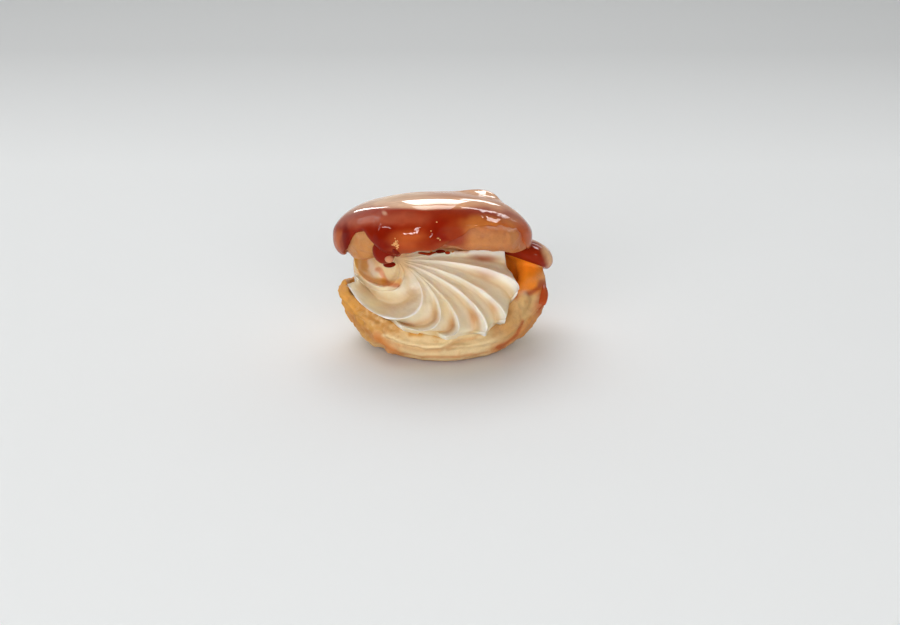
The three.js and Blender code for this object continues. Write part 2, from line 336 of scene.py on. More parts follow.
# ---------------------------------------------------------------- materials
class Nodes:
    """A short way to write a material's nodes. Sizes in it are in metres, and noise scales are per metre."""

    def __init__(self, name):
        self.material = bpy.data.materials.new(name)
        self.material.use_nodes = True
        self.tree = self.material.node_tree
        self.shader = self.tree.nodes["Principled BSDF"]

    def add(self, kind, **inputs):
        node = self.tree.nodes.new("ShaderNode" + kind)
        for key, value in inputs.items():
            self.set(node, key, value)
        return node

    def set(self, node, key, value):
        if key[0].islower():
            setattr(node, key, value)
            return
        socket = node.inputs[key.replace("_", " ")]
        if isinstance(value, bpy.types.NodeSocket):
            self.tree.links.new(value, socket)
        else:
            socket.default_value = value

    def shade(self, **inputs):
        for key, value in inputs.items():
            self.set(self.shader, key, value)

    def place(self):
        return self.add("TexCoord").outputs["Object"]

    def attribute(self, name, output="Color"):
        return self.add("Attribute", attribute_name=name).outputs[output]

    def noise(self, scale, detail=4.0, roughness=0.5):
        node = self.add("TexNoise", Vector=self.place(), Scale=scale, Detail=detail, Roughness=roughness)
        return node.outputs["Fac"]

    def mapped(self, value, low, high, to_low, to_high):
        node = self.add("MapRange", Value=value)
        for key, number in zip(("From Min", "From Max", "To Min", "To Max"), (low, high, to_low, to_high)):
            node.inputs[key].default_value = number
        return node.outputs["Result"]

    def mottled(self, scale, detail, depth):
        """Noise about 1, lighter and darker by a depth."""
        return self.mapped(self.noise(scale, detail), 0.3, 0.7, 1 - depth, 1 + depth)

    def maths(self, operation, a, b):
        node = self.add("Math", operation=operation)
        for socket, value in zip(node.inputs, (a, b)):
            if isinstance(value, bpy.types.NodeSocket):
                self.tree.links.new(value, socket)
            else:
                socket.default_value = value
        return node.outputs["Value"]

    def scaled_colour(self, colour, amount):
        """A colour made lighter or darker by an amount from nodes."""
        node = self.add("VectorMath", operation="SCALE")
        self.tree.links.new(colour, node.inputs[0])
        self.tree.links.new(amount, node.inputs["Scale"])
        return node.outputs["Vector"]

    def bump(self, height, strength, distance):
        node = self.add("Bump", Height=height, Strength=strength, Distance=distance)
        return node.outputs["Normal"]


def choux_material():
    n = Nodes("baked_choux")
    fine = n.mapped(n.noise(2200, 3), 0.3, 0.7, -0.04, 0.04)
    grain = n.maths("ADD", n.noise(900, 6, 0.6), n.maths("MULTIPLY", n.noise(3600, 3), 0.4))
    n.shade(
        Base_Color=n.scaled_colour(n.attribute("tint"), n.maths("ADD", n.mottled(420, 5, 0.06), fine)),
        Roughness=n.mapped(n.attribute("wet", "Fac"), 0, 1, 0.62, 0.2),
        Specular_IOR_Level=0.3,
        Subsurface_Weight=0.12,
        Subsurface_Scale=0.0015,
        Normal=n.bump(grain, 0.4, 0.0004),
    )
    n.shader.inputs["Subsurface Radius"].default_value = (1.0, 0.55, 0.25)
    return n.material


def cream_material():
    n = Nodes("whipped_cream")
    n.shade(
        Base_Color=n.scaled_colour(n.attribute("tint"), n.mottled(700, 4, 0.015)),
        Roughness=n.mapped(n.attribute("wet", "Fac"), 0, 1, 0.42, 0.12),
        Subsurface_Weight=0.6,
        Subsurface_Scale=0.003,
        Normal=n.bump(n.noise(1800, 4, 0.55), 0.18, 0.0004),
    )
    n.shader.inputs["Subsurface Radius"].default_value = (1.0, 0.8, 0.5)
    return n.material


def glaze_material():
    n = Nodes("caramel_glaze")
    n.shade(
        Base_Color=n.scaled_colour(n.attribute("tint"), n.mottled(500, 3, 0.07)),
        Roughness=0.4,
        Specular_IOR_Level=0.0,
        Coat_Weight=0.7,
        Coat_Roughness=0.03,
        Coat_IOR=1.22,
        Normal=n.bump(n.noise(260, 3, 0.45), 0.05, 0.0006),
    )
    return n.material


# ---------------------------------------------------------------- the choux shell
# shares of the way from the floor's middle at which the inner wall and the rim end, and the share of the rest
# that is the outer wall
INNER, RIM, WALL_SHARE = 0.4, 0.52, 0.8
RIM_ROUND, RIM_BULGE = 0.6, 0.35  # how round the rim is, and how high it stands as a share of the wall


def base_surface(along, azimuth):
    """From the middle of the floor out and up the inner wall, over the rim, and down the outer wall."""
    outer, lip, wall = (around(v, azimuth) for v in (BASE_RADIUS, BASE_LIP, BASE_WALL))
    inner_top = lip + around(CRUMB_RISE, azimuth)
    a = np.clip(along / INNER, 0, 1) * math.pi / 2
    inside = (outer - wall) * np.sin(a), mix(inner_top, BASE_FLOOR, np.cos(a))
    t = np.clip((along - INNER) / (RIM - INNER), 0, 1)
    rim = (outer - wall + wall * mix(t, 1 - np.cos(t * math.pi / 2), RIM_ROUND),
           mix(inner_top, lip, t * t) + RIM_BULGE * wall * np.sin(t * math.pi))
    t = np.clip((along - RIM) / (1 - RIM), 0, 1)
    a = np.clip(1 - t / WALL_SHARE, 0, 1) * math.pi / 2
    outside = mix(BASE_CONTACT, outer, np.sin(a)), lip * (1 - np.cos(a))
    under = BASE_CONTACT * (1 - t) / (1 - WALL_SHARE), np.zeros_like(t)
    choices = [along <= INNER, along < RIM, t < WALL_SHARE]
    r = np.select(choices, [inside[0], rim[0], outside[0]], under[0])
    z = np.select(choices, [inside[1], rim[1], outside[1]], under[1])
    a = np.radians(azimuth)
    return np.stack([r * np.cos(a), r * np.sin(a), z], 1)


def tilted(x, y, z, degrees, centre):
    """Points leaned towards the mouth by degrees about X, or back by negative ones, and put at a centre."""
    a = math.radians(degrees)
    return np.stack([x, y * math.cos(a) - z * math.sin(a), y * math.sin(a) + z * math.cos(a)], 1) + centre


def squared(x):
    """A sine or cosine that makes a fuller form than a round one."""
    return np.sign(x) * np.abs(x) ** LID_FULLNESS


def lid_surface(along, azimuth):
    """From the top pole down to the pole of the hollow under it."""
    down = along * math.pi
    radius = around(LID_RADIUS, azimuth)
    reach = squared(np.sin(down)) * radius
    height = squared(np.cos(down)) * np.where(down < math.pi / 2, LID_CROWN, LID_BELLY)
    height = height + np.where(down > math.pi / 2, LID_HOLLOW * (1 - (reach / radius) ** 2), 0)
    for bump_azimuth, bump_down, width, size in LID_BUMPS:
        apart = np.mod(azimuth - bump_azimuth + 180, 360) - 180
        off = np.hypot(apart * np.sin(down), along * 180 - bump_down) / width
        swell = size * np.exp(-off * off)
        reach = reach + swell * np.sin(down)
        height = height + swell * np.cos(down)
    x, y = reach * np.cos(np.radians(azimuth)), reach * np.sin(np.radians(azimuth))
    height = height - mix(LID_DROOP, LID_LOW_DROOP, along) * (x / LID_RADIUS[0]) ** 2
    return tilted(x, y, height, -LID_TILT, LID_CENTRE)


def turned(about_x, about_y):
    """The matrix that turns by degrees about X and then Y."""
    turns = [Matrix.Rotation(math.radians(a), 3, axis) for a, axis in ((about_y, "Y"), (about_x, "X"))]
    return np.array(turns[0] @ turns[1])


def egg_surface(centre, radii, turn=np.eye(3)):
    """The surface of an egg with these half sizes, turned by a matrix."""
    def place(along, azimuth):
        down, a = along * math.pi, np.radians(azimuth)
        unit = np.stack([np.sin(down) * np.cos(a), np.sin(down) * np.sin(a), np.cos(down)], 1)
        return unit * radii @ turn.T + centre

    return place


LOBE_TURN = turned(*LOBE_TURNED)
lobe_surface = egg_surface(LOBE_CENTRE, LOBE_RADII, LOBE_TURN)


def grid_on(surface, rings, turns):
    """Points and faces of a surface that takes azimuths."""
    return closed_grid(rings, turns, lambda along, turn: surface(along, turn * 360 / turns))


# the torn lip of the base, as a path on the front
LIP_LINE = [(-17.6, 2.1), (-13.6, 0.3), (-10, -0.9), (-5.5, -1.5), (-0.9, -1.5), (1.5, -0.3), (3.6, 1.2),
            (9.7, 2.7)]
# caramel pooled on the rim at the right, painted with a glow as if lit through the wall: its lower edge,
# across and up, where it starts, the azimuths between which it ends, and the height that it stays below
POOL_EDGE = [18.8, 22.7, 25.8, 29.0, 32.0], [13.6, 14.2, 15.8, 15.4, 14.6]
POOL_START, POOL_END, POOL_TOP = (17, 18.5), (55, 20), 27
# colours on the front of the lid, where caramel is thick and thin, with one painted reflection: middle, half
# sizes, turn, softness, colour and strength
FRONT_TONES_AND_SHEEN = [
    ((-5, 34), (32, 9.0), 0, 0.2, srgb(148, 44, 14), 1.0),
    # a painted reflection: the pale, milky sheen on the lid's left shoulder
    ((-23.0, 36.5), (9.0, 2.0), 4, 0.8, srgb(176, 96, 72), 0.7),
    ((-9.5, 37.6), (9.0, 1.5), 0, 0.8, srgb(166, 78, 50), 0.6),
    ((-23.5, 33.6), (9.5, 1.6), 3, 0.7, srgb(132, 28, 8), 0.85),
    ((-18.0, 28.5), (5.0, 6.4), 0, 0.5, srgb(124, 22, 4), 0.98),
    ((-29.0, 30.5), (1.5, 4.8), 8, 0.5, srgb(112, 14, 0), 0.95),
    ((-32.0, 30.4), (1.3, 3.0), 8, 0.5, srgb(186, 92, 36), 0.85),
    ((-8.5, 30.6), (6.6, 3.0), 0, 0.5, srgb(182, 86, 40), 0.9),
    ((-5.5, 29.4), (3.8, 1.9), 0, 0.8, srgb(144, 44, 12), 0.8),
    ((-8.5, 27.4), (7.0, 0.8), 0, 0.6, srgb(162, 70, 34), 0.8),
    ((-0.4, 33.6), (5.0, 5.8), 0, 0.6, srgb(134, 26, 6), 0.98),
    ((10.0, 37.8), (10.0, 2.0), -6, 0.7, srgb(142, 44, 12), 0.85),
    ((16.5, 32.4), (12.5, 4.9), -3, 0.45, srgb(192, 122, 64), 0.95),
    ((14.0, 35.4), (7.0, 1.8), -5, 0.7, srgb(192, 104, 42), 0.7),
    ((10.8, 28.6), (9.4, 1.6), 0, 0.7, srgb(202, 134, 76), 0.8),
    ((4.4, 32.6), (3.4, 4.6), 0, 0.7, srgb(140, 38, 10), 0.85),
    ((25.4, 33.4), (3.0, 4.8), 10, 0.5, srgb(184, 80, 34), 0.9),
]
# streaks there: path, width, colour and strength
FRONT_STREAKS = [
    ([(2.5, 28.2), (9, 28.7), (16, 28.3), (23, 28.6)], 1.7, srgb(160, 70, 34), 0.25),
    ([(13, 37.0), (19, 35.6), (24, 32.4)], 1.4, srgb(166, 70, 32), 0.5),
]
# where the crust is lumpy and crumby, and where it shows through a gap in the glaze: middle, half sizes, turn
# and softness
LUMPY = (-21, 2.5), (12, 6), -35, 0.8
CRUMBY = (-19, 5.5), (8, 5), -35, 0.6
BARE_PATCH = (-24.6, 29.2), (4.2, 6.0), 0, 0.25
# folds of the base's crust: path on the front, width and height
BASE_FOLDS = [
    ([(24.0, 13.4), (22.4, 9.0), (19.0, 3.2), (14.5, 0.4)], 4.4, 0.9),
    ([(27.4, 13.2), (26.0, 8.0), (22.5, 3.4)], 1.8, -0.7),
    ([(18.6, 12.0), (17.4, 7.4), (13.6, 3.6)], 2.2, -0.6),
    ([(-25.5, 9.0), (-22.0, 4.2), (-18.0, 0.5)], 2.0, 0.5),
    ([(-29.2, 13.0), (-27.2, 7.6), (-23.6, 2.6)], 1.6, -0.5),
]
# spots of colour on the base's front, one paler as painted bounce light: middle, half sizes, turn, colour and
# strength
CRUST_SPOTS_AND_BOUNCE_LIGHT = [
    # pale crust on the base's front, made paler still as painted light bounced up from below
    ((4, -1.5), (20, 6.5), 0, srgb(218, 192, 146), 0.9),
    ((-28, 13), (4.5, 13), 14, srgb(213, 148, 56), 0.95),
    ((22, 6), (7, 7), 0, srgb(200, 148, 84), 0.8),
    ((24.8, 9.5), (3.0, 3.4), 0, srgb(206, 166, 108), 0.7),
]
# stains, browned edges and a painted shadow line there: path, width, colour and strength
CRUST_STAINS_AND_SHADOW_LINE = [
    ([(27.5, 6), (24.5, 1.8), (21, -0.5), (16, -2.6)], 3.0, srgb(200, 122, 54), 0.7),
    # a painted shadow line along a fold of the crust
    ([(24.2, 6.0), (22.6, 2.6), (20.4, 0.4), (17.0, -1.8)], 1.1, srgb(176, 78, 20), 0.9),
    ([(-20, 1.5), (-17.0, -1.2), (-13, -3.6), (-6, -4.6), (6, -4.4), (14, -3.2)], 0.7, srgb(186, 108, 44),
     0.6),
    ([(-31, 20), (-30, 14.5), (-28.0, 9)], 2.0, srgb(226, 160, 66), 0.75),
    ([(-28, 9), (-24.5, 4), (-19, 0.5)], 1.6, srgb(184, 112, 46), 0.6),
    ([(-20, 1.5), (-17.5, -0.5), (-14, -4)], 2.6, srgb(200, 118, 50), 0.7),
    ([(-24, 9), (-20, 5), (-15, 3.4)], 2.2, srgb(206, 152, 84), 0.6),
    ([(-9.5, 2.3), (-6.5, 2.0)], 1.7, srgb(196, 132, 30), 0.9),
    ([(-2.2, 1.6), (-0.6, 1.2)], 1.5, srgb(196, 132, 30), 0.85),
    ([(16, 12.6), (19.5, 13.2), (22.5, 13.2)], 1.6, srgb(176, 78, 28), 0.85),
    ([(26.4, 15.0), (28.4, 16.4), (30.6, 17.2)], 1.9, srgb(166, 60, 10), 0.9),
    ([(31.0, 16.6), (30.4, 12.4), (28.8, 8.6)], 3.0, srgb(174, 80, 26), 0.85),
    ([(19, 9), (18, 5), (15.5, 2)], 1.6, srgb(192, 140, 84), 0.5),
]
# the torn lip's pale edge and the painted shadow under it: how far below it, colour and strength
LIP_EDGE_AND_SHADOW = [(0, srgb(238, 214, 166), 0.7), (1.2, srgb(190, 134, 78), 0.5)]
# the crust's relief: height, size, octaves and seed
BLISTERS, PIMPLES = (0.42, 7.0, 3, 3), (0.16, 2.2, 2, 11)
CRUMB, LUMPS = (0.40, 2.6, 3, 31), (0.75, 3.6, 2, 13)
WRINKLE, PIT, CRUST_SUNK = 0.30, 0.35, 0.1
# the crust's colours at random: strength, the noise between which they grow, size, octaves and seed
GOLDEN, BROWNED = (1.0, (-0.6, 0.9), 6.0, 3, 61), (0.6, (0.15, 1.0), 9.0, 2, 71)
FRECKLED, SPECKLED = (0.45, (0.35, 0.9), 1.6, 1, 81), (0.35, (0.25, 0.7), 1.1, 1, 85)
DARK_CRUMBS, PALE_CRUMBS = (0.75, (-0.1, 0.7), 1.6, 2, 87), (0.5, (0.2, 0.8), 1.0, 2, 89)
CRUST_WAVE = 0.7, 4.0, 51  # how far, of what size and by which seed edges of its colours are uneven
# height at which the lid's crust starts, in front and behind, and how much lower for each millimetre back
LID_FROM, LID_FROM_BEHIND, LID_SLOPE = 26.5, 35.0, 0.21
BASE_GRID, LID_GRID, LOBE_GRID = (150, 260), (120, 260), (50, 90)  # rings and the points in each
VOXEL, SOFTENING = 0.52, 5  # size of the voxels that join the forms, and rounds of smoothing after it


def lid_tones_and_sheen(seen, colour, share):
    """The colours that caramel gives the front of the lid, and a painted reflection, laid over a colour by a
    share.
    """
    for middle, radii, turn, soft, tone, strength in FRONT_TONES_AND_SHEEN:
        colour = mix(colour, tone, strength * share * spot(seen, middle, radii, turn, soft))
    for path, width, tone, strength in FRONT_STREAKS:
        colour = mix(colour, tone, strength * share * stroke(seen, path, width))
    return colour


def pooled(p):
    """1 where caramel has pooled inside the rim at the right, under the lobe."""
    seen = wavy_on_front(p, CRUST_WAVE)
    above = ease(-2.2, 1.4, seen[:, 1] - np.interp(seen[:, 0], *POOL_EDGE))
    within = ease(*POOL_START, seen[:, 0]) * ease(*POOL_END, np.abs(azimuth_of(p)))
    return above * within * (p[:, 2] < POOL_TOP)


def on_lid_crust(p):
    """1 on the lid's crust and 0 on the base's."""
    starts = mix(LID_FROM, LID_FROM_BEHIND, ease(-4, 10, p[:, 1])) - LID_SLOPE * p[:, 1]
    return ease(0, 2, p[:, 2] - starts)


def choux_relief(p):
    """How far the crust stands out at each point: soft blisters outside, torn crumb on the rim and inside."""
    azimuth = azimuth_of(p)
    depth = around(BASE_RADIUS, azimuth) - np.hypot(p[:, 0], p[:, 1])
    torn = ease(0.8, 2.4, depth) * (1 - ease(30, 33, p[:, 2]))
    wrinkle = WRINKLE * (1 - np.abs(noise(p * [1, 1, 1.8], 3.4, 21))) ** 3
    crust = bumps(p, *BLISTERS) + bumps(p, *PIMPLES) + wrinkle - CRUST_SUNK
    crumb = bumps(p, *CRUMB) - PIT * ease(0.35, 0.8, noise(p, 1.5, 41))
    to_lip = np.hypot(depth, p[:, 2] - around(BASE_LIP, azimuth) + 0.6 * noise(p, 5.0, 45))
    lip = 0.6 * bell(to_lip, 0.7) - 0.45 * bell(to_lip - 1.7, 0.8)
    seen = on_front(p)
    torn_lip = stroke(seen, LIP_LINE, 1.0, 0.8) - 0.8 * stroke(seen + [0, 1.1], LIP_LINE, 1.2, 0.8)
    folds = sum(height * stroke(seen, path, width) for path, width, height in BASE_FOLDS)
    lumps = bumps(p, *LUMPS) * spot(seen, *LUMPY)
    front = (lip + 0.5 * torn_lip + folds + lumps) * (p[:, 1] < 0)
    low = ease(0.0, 3.0, p[:, 2])
    return (mix(crust, crumb, torn) + front) * low * (1 - 0.85 * pooled(p))


def choux_colours(p, normal):
    """The crust's colour at each point, and how wet it is with caramel."""
    seen = wavy_on_front(p, CRUST_WAVE)
    front = facing(normal, 0.05, 0.3)
    colour = mix(srgb(216, 178, 120), srgb(200, 146, 78), patches(p, *GOLDEN))
    colour = mix(colour, srgb(180, 112, 48), patches(p, *BROWNED) * (1 - front))
    colour = mix(colour, srgb(176, 112, 56), 0.7 * ease(3.0, 0.5, p[:, 2]))
    for middle, radii, turn, tone, strength in CRUST_SPOTS_AND_BOUNCE_LIGHT:
        colour = mix(colour, tone, strength * spot(seen, middle, radii, turn, 0.5) * front)
    colour = mix(colour, srgb(190, 126, 62), patches(p, *FRECKLED) * front)
    crumby = spot(seen, *CRUMBY) * front
    colour = mix(colour, srgb(192, 134, 52), patches(p, *DARK_CRUMBS) * crumby)
    colour = mix(colour, srgb(236, 210, 160), patches(p, *PALE_CRUMBS) * crumby)
    pool_and_glow = pooled(p)
    # pooled caramel, its orange raised to a painted glow of light shining through the thin wall
    colour = mix(colour, mix(srgb(250, 142, 34), srgb(230, 160, 74), ease(27, 32, seen[:, 0])), pool_and_glow)
    for path, width, tone, strength in CRUST_STAINS_AND_SHADOW_LINE:
        colour = mix(colour, tone, strength * stroke(seen, path, width) * front)
    lid = on_lid_crust(p)
    colour = lid_tones_and_sheen(seen, mix(colour, srgb(196, 124, 66), lid), lid * front)
    colour = mix(colour, srgb(192, 130, 70), spot(seen, *BARE_PATCH) * front)
    # the lip's pale edge, and a painted shadow just under it
    for below, tone, strength in LIP_EDGE_AND_SHADOW:
        colour = mix(colour, tone, strength * stroke(seen + [0, below], LIP_LINE, 1.1, 0.8) * front)
    colour = mix(colour, srgb(170, 92, 50), patches(p, *SPECKLED) * lid)
    return colour, np.clip(pool_and_glow + 0.5 * lid, 0, 1)


def make_choux():
    forms = joined(grid_on(base_surface, *BASE_GRID), grid_on(lid_surface, *LID_GRID),
                   grid_on(lobe_surface, *LOBE_GRID))
    obj = merged_by_voxels(new_object("choux_crust", *forms), VOXEL, SOFTENING)
    p, normal = points_of(obj), normals_of(obj)
    p = p + normal * choux_relief(p)[:, None]
    p[:, 2] = np.maximum(p[:, 2], 0)
    move_points(obj, p)
    colours, wet = choux_colours(p, normals_of(obj))
    colour_attribute(obj, "tint", colours)
    value_attribute(obj, "wet", wet)
    return as_piece(obj, choux_material(), "choux_shell")


# ---------------------------------------------------------------- the cream
ACROSS, CREAM_RINGS = 26, 190  # lines across each ridge, and rings
SWIRL = 0.74  # the share of the surface that shows
STEEP_POWER, HOLLOW_POWER = 1.3, 2.0  # how hollow a ridge's steep side and its long face are
CREAM_SINK = 0.3  # how far ridges and grooves are sunk at their ring, as a share of a ridge's height
RIDGE_END = 0.25  # how soon the ridges fade out below their ring, in radians
CREAM_WAVES, CREAM_GRAIN = (0.16, 4.0, 3, 101), (0.05, 0.9, 1, 105)  # height, size, octaves and seed
# syrup on the cream: path on the front, width, colour and strength
SYRUP = [
    ([(-23, 24.5), (-19, 22), (-14, 24)], 9.0, srgb(244, 218, 164), 0.8),
    ([(-26.6, 26), (-26.2, 21.5), (-24, 19.8), (-20.6, 18.4), (-16.8, 17.9), (-13.6, 18.4)], 1.8,
     srgb(236, 180, 96), 0.85),
    ([(-24.3, 26.0), (-23.5, 22.5)], 2.6, srgb(228, 176, 100), 0.8),
    ([(-21.8, 24.0), (-20.6, 21.2)], 2.2, srgb(244, 232, 208), 0.9),
    ([(-19.6, 22.2), (-18.2, 19.6), (-16.2, 17.6), (-13.8, 17.2)], 1.4, srgb(206, 124, 72), 0.8),
    ([(-16.6, 22.0), (-14.6, 20.4)], 3.2, srgb(238, 218, 170), 0.8),
    ([(-18.2, 18.9), (-17.6, 17.6)], 1.6, srgb(226, 156, 70), 0.7),
    ([(-2.0, 28.8), (2.5, 28.7), (7.0, 28.3)], 2.2, srgb(200, 134, 80), 0.85),
]
# painted warm shade along the bowl of its left loop
BOWL_SHADE_LINE = [(-23.5, 17), (-22.1, 15.3), (-19.6, 13.2), (-17.1, 12.2), (-14.5, 11.7), (-12, 12.2), (-9, 14.2)]
# caramel and painted shadow in the cream's grooves: middle on the front, half sizes, turn, colour and
# strength
GROOVE_CARAMEL_AND_SHADE = [
    ((12.3, 25.6), (3.8, 1.1), 0, srgb(166, 80, 30), 0.95),
    ((13.0, 21.0), (3.5, 1.6), -15, srgb(180, 104, 48), 0.8),
    ((9.0, 7.6), (1.6, 3.0), -20, srgb(204, 136, 66), 0.7),
    ((15.6, 12.0), (1.6, 2.4), 20, srgb(200, 128, 66), 0.7),
    ((-2.0, 7.4), (1.6, 2.4), 20, srgb(192, 132, 66), 0.7),
    ((-9.2, 6.4), (4.5, 1.6), 8, srgb(200, 140, 76), 0.7),
    ((2.1, 5.4), (1.8, 2.4), 10, srgb(190, 130, 66), 0.8),
]
TUCKED = 0.5  # how far its hidden body goes into the shell's wall, so that no gap shows


def ridge_share(across, groove):
    """Height between two crests: a steep side, the groove, then a long hollow face."""
    steep = (1 - np.clip(across / groove, 0, 1)) ** STEEP_POWER
    hollow = np.clip((across - groove) / (1 - groove), 0, 1) ** HOLLOW_POWER
    return np.where(across < groove, steep, hollow)


def turned_at(ridge, share):
    """Azimuth of ridges at a share of the way out from the peak."""
    return ridge[:, 0] + ridge[:, 1] * (1 - share) ** ridge[:, 2]


def ridges_at(along, turn):
    """What the ridges are like at points of the cream's grid."""
    k = turn // ACROSS
    across = 1 - (turn % ACROSS + 1) / ACROSS
    ridge, following = RIDGES[k], RIDGES[(k + 1) % len(RIDGES)].copy()
    following[k == len(RIDGES) - 1, 0] += 360
    share = np.clip(along / SWIRL, 0, 1)
    out = 1 - (1 - share) ** 2
    here, there = turned_at(ridge, share), turned_at(following, share)
    length = mix(following[:, 3], ridge[:, 3], across)
    deep = np.clip(np.radians(there - here) * length * out / FULL_WIDTH, 0, 1)
    return ridge[:, 4], ridge[:, 5], across, out, mix(there, here, across), length, deep


def cream_surface(along, turn):
    """From the peak out over the ridges, and down into the shell. Turn counts the lines round it."""
    notch, groove, across, out, azimuth, length, deep = ridges_at(along, turn)
    turned_by = np.radians(azimuth)
    below = np.clip((along - SWIRL) / (1 - SWIRL), 0, 1) * math.pi / 2
    crest = out * mix(1, ridge_share(across, groove), deep) * (1 - ease(0, RIDGE_END, below))
    swell = 1 + SWELL * np.sin(2 * below)
    reach = length * (1 - notch * (1 - crest)) * out * swell * np.sqrt(np.abs(np.cos(below)))
    lean = LEAN * crest
    height = CREAM_CROWN * (1 - out * out) - CREAM_DEPTH * np.sin(below)
    height = height + RIDGE * (crest - CREAM_SINK * out * np.cos(below))
    x = PEAK_SHIFT[0] * (1 - out) + reach * np.cos(turned_by) + lean * np.sin(turned_by)
    y = PEAK_SHIFT[1] * (1 - out) + reach * np.sin(turned_by) - lean * np.cos(turned_by)
    return tilted(x, y, height, CREAM_TILT, CREAM_CENTRE)


def cream_places(rings):
    """Where each point of the cream's grid is: how far along its line, and which line."""
    turns = ACROSS * len(RIDGES)
    along = np.repeat(np.arange(1, rings) / rings, turns)
    turn = np.tile(np.arange(turns), rings - 1)
    return np.concatenate([[0], along, [1]]), np.concatenate([[0], turn, [0]])


def kept_in_shell(p):
    """The cream's points, with those below the rim drawn in to just under the surface of the inner wall."""
    tables = BASE_RADIUS, BASE_LIP, BASE_WALL, CRUMB_RISE
    outer, lip, wall, rise = (around(table, azimuth_of(p)) for table in tables)
    top = lip + rise
    depth = np.clip((top - p[:, 2]) / (top - BASE_FLOOR), 0, 1)
    room = (outer - wall) * np.sqrt(1 - depth**2) + TUCKED
    r = np.hypot(p[:, 0], p[:, 1])
    share = np.where(p[:, 2] < top, np.minimum(1, room / (r + 1e-9)), 1)
    kept = p * np.stack([share, share, np.ones_like(share)], 1)
    kept[:, 2] = np.maximum(kept[:, 2], BASE_FLOOR)
    return kept


def cream_colours(p, along, turn):
    """Ivory, with painted shade in its grooves and highlights on its crests, and caramel syrup run over its
    upper left. Also how wet it is.
    """
    seen = wavy_on_front(p, (0.5, 3.0, 91))
    _, groove_at, across, out, _, _, deep = ridges_at(along, turn)
    usual = groove_at == GROOVE
    # where the grooves get a warm painted shade
    groove = bell(across - groove_at, 0.17) * ease(0.35, 0.95, deep) * mix(0.35, 1.0, usual)
    # where the crests get a painted highlight, wider further out
    wide = mix(0.12, 0.26, out) * mix(0.4, 1.0, usual)
    crest = (ease(0.94, 1.0, across) + ease(wide, 0.4 * wide, across)) * ease(0.25, 0.85, deep)
    colour = mix(srgb(233, 220, 191), srgb(228, 211, 172), ease(-0.2, 0.9, fbm(p, 6.0, 2, 95)))
    # painted light: the cream is made paler towards its top, right of the left loop, where the lid shades it
    colour = mix(colour, srgb(238, 236, 214), 0.8 * ease(13, 22, seen[:, 1]) * ease(-14, -8, seen[:, 0]))
    # painted warm shade along the bowl of the left loop
    colour = mix(colour, srgb(206, 168, 116), 0.55 * stroke(seen, BOWL_SHADE_LINE, 3.4))
    colour = mix(colour, srgb(214, 178, 120), 0.65 * groove)
    colour = mix(colour, srgb(246, 241, 229), 0.9 * np.clip(crest, 0, 1))
    # caramel and painted shadow in the grooves and in the gaps under the folds
    for middle, radii, angle, tone, strength in GROOVE_CARAMEL_AND_SHADE:
        colour = mix(colour, tone, strength * spot(seen, middle, radii, angle) * np.sqrt(groove))
    syrup = np.zeros(len(p))
    for path, width, tone, strength in SYRUP:
        share = strength * stroke(seen, path, width, 0.6)
        colour = mix(colour, tone, share)
        syrup = np.maximum(syrup, share)
    return colour, syrup


def make_cream():
    points, faces = closed_grid(CREAM_RINGS, ACROSS * len(RIDGES), cream_surface)
    obj = new_object("piped_cream", points, faces)
    relief = bumps(points, *CREAM_WAVES) + bumps(points, *CREAM_GRAIN)
    p = points + normals_of(obj) * relief[:, None]
    move_points(obj, kept_in_shell(p))
    colours, wet = cream_colours(p, *cream_places(CREAM_RINGS))
    colour_attribute(obj, "tint", colours)
    value_attribute(obj, "wet", wet)
    return as_piece(obj, cream_material(), "cream_swirl")


# ---------------------------------------------------------------- the glaze
SHEET_TOP = 0.9  # the share of a sheet's rings that is its top, with the rest under it
SHEET_LIP = 26  # the larger, the nearer its edge a sheet starts to round off
STEP = 0.002  # how far apart the points are that a normal is worked out from, as a share of the way down
RUN_WAVES, ROUGHNESS, LOBE_WAVES = (0.14, 13.0, 2, 121), (0.16, 1.8, 2, 127), (0.12, 5.0, 2, 151)
EDGE_WAVES, EDGE_RING = (2.2, 4.0, 3, 111), 25  # in degrees, on a ring of this radius
GLAZE_WAVES = (0.7, 5.0, 131), (0.25, 1.6, 137)  # as CRUST_WAVE, for its colours
LID_SHEET, LOBE_SHEET = (150, 330), (60, 110)  # rings and the points in each
DRIP_GRID, RUN_GRID, DROP_GRID = (30, 40), (50, 20), (14, 22)


def lifted(surface, along, azimuth, by):
    """Points lifted off a surface along its normal."""
    start = np.clip(along, STEP, 1 - 2 * STEP)
    here = surface(start, azimuth)
    normal = np.cross(surface(start + STEP, azimuth) - here, surface(start, azimuth + STEP * 180) - here)
    normal /= np.linalg.norm(normal, axis=1, keepdims=True) + 1e-9
    return surface(along, azimuth) + normal * np.asarray(by)[:, None]


def sheet(surface, edge_at, thickness, rings, turns):
    """A sheet of glaze on a surface, out from its top to a full round lip and back under itself."""
    def place(along, turn):
        azimuth = turn * 360 / turns
        top = along < SHEET_TOP
        share = np.where(top, along / SHEET_TOP, (1 - along) / (1 - SHEET_TOP))
        lip = np.sqrt(1 - share**SHEET_LIP)
        at = edge_at(azimuth) * share
        over = thickness(surface(at, azimuth)) * lip
        return lifted(surface, at, azimuth, np.where(top, over, -GLAZE_SUNK))

    return closed_grid(rings, turns, place)


def lid_edge(azimuth):
    """How far the glaze has run down the lid, as a share of the way from its top pole to the one under it."""
    a = np.radians(azimuth)
    ring = np.stack([np.cos(a), np.sin(a), np.zeros_like(a)], 1) * EDGE_RING
    return (around(GLAZE_REACH, azimuth) + bumps(ring, *EDGE_WAVES)) / 180


def lobe_edge(azimuth):
    return np.full(np.shape(azimuth), LOBE_REACH / 180)


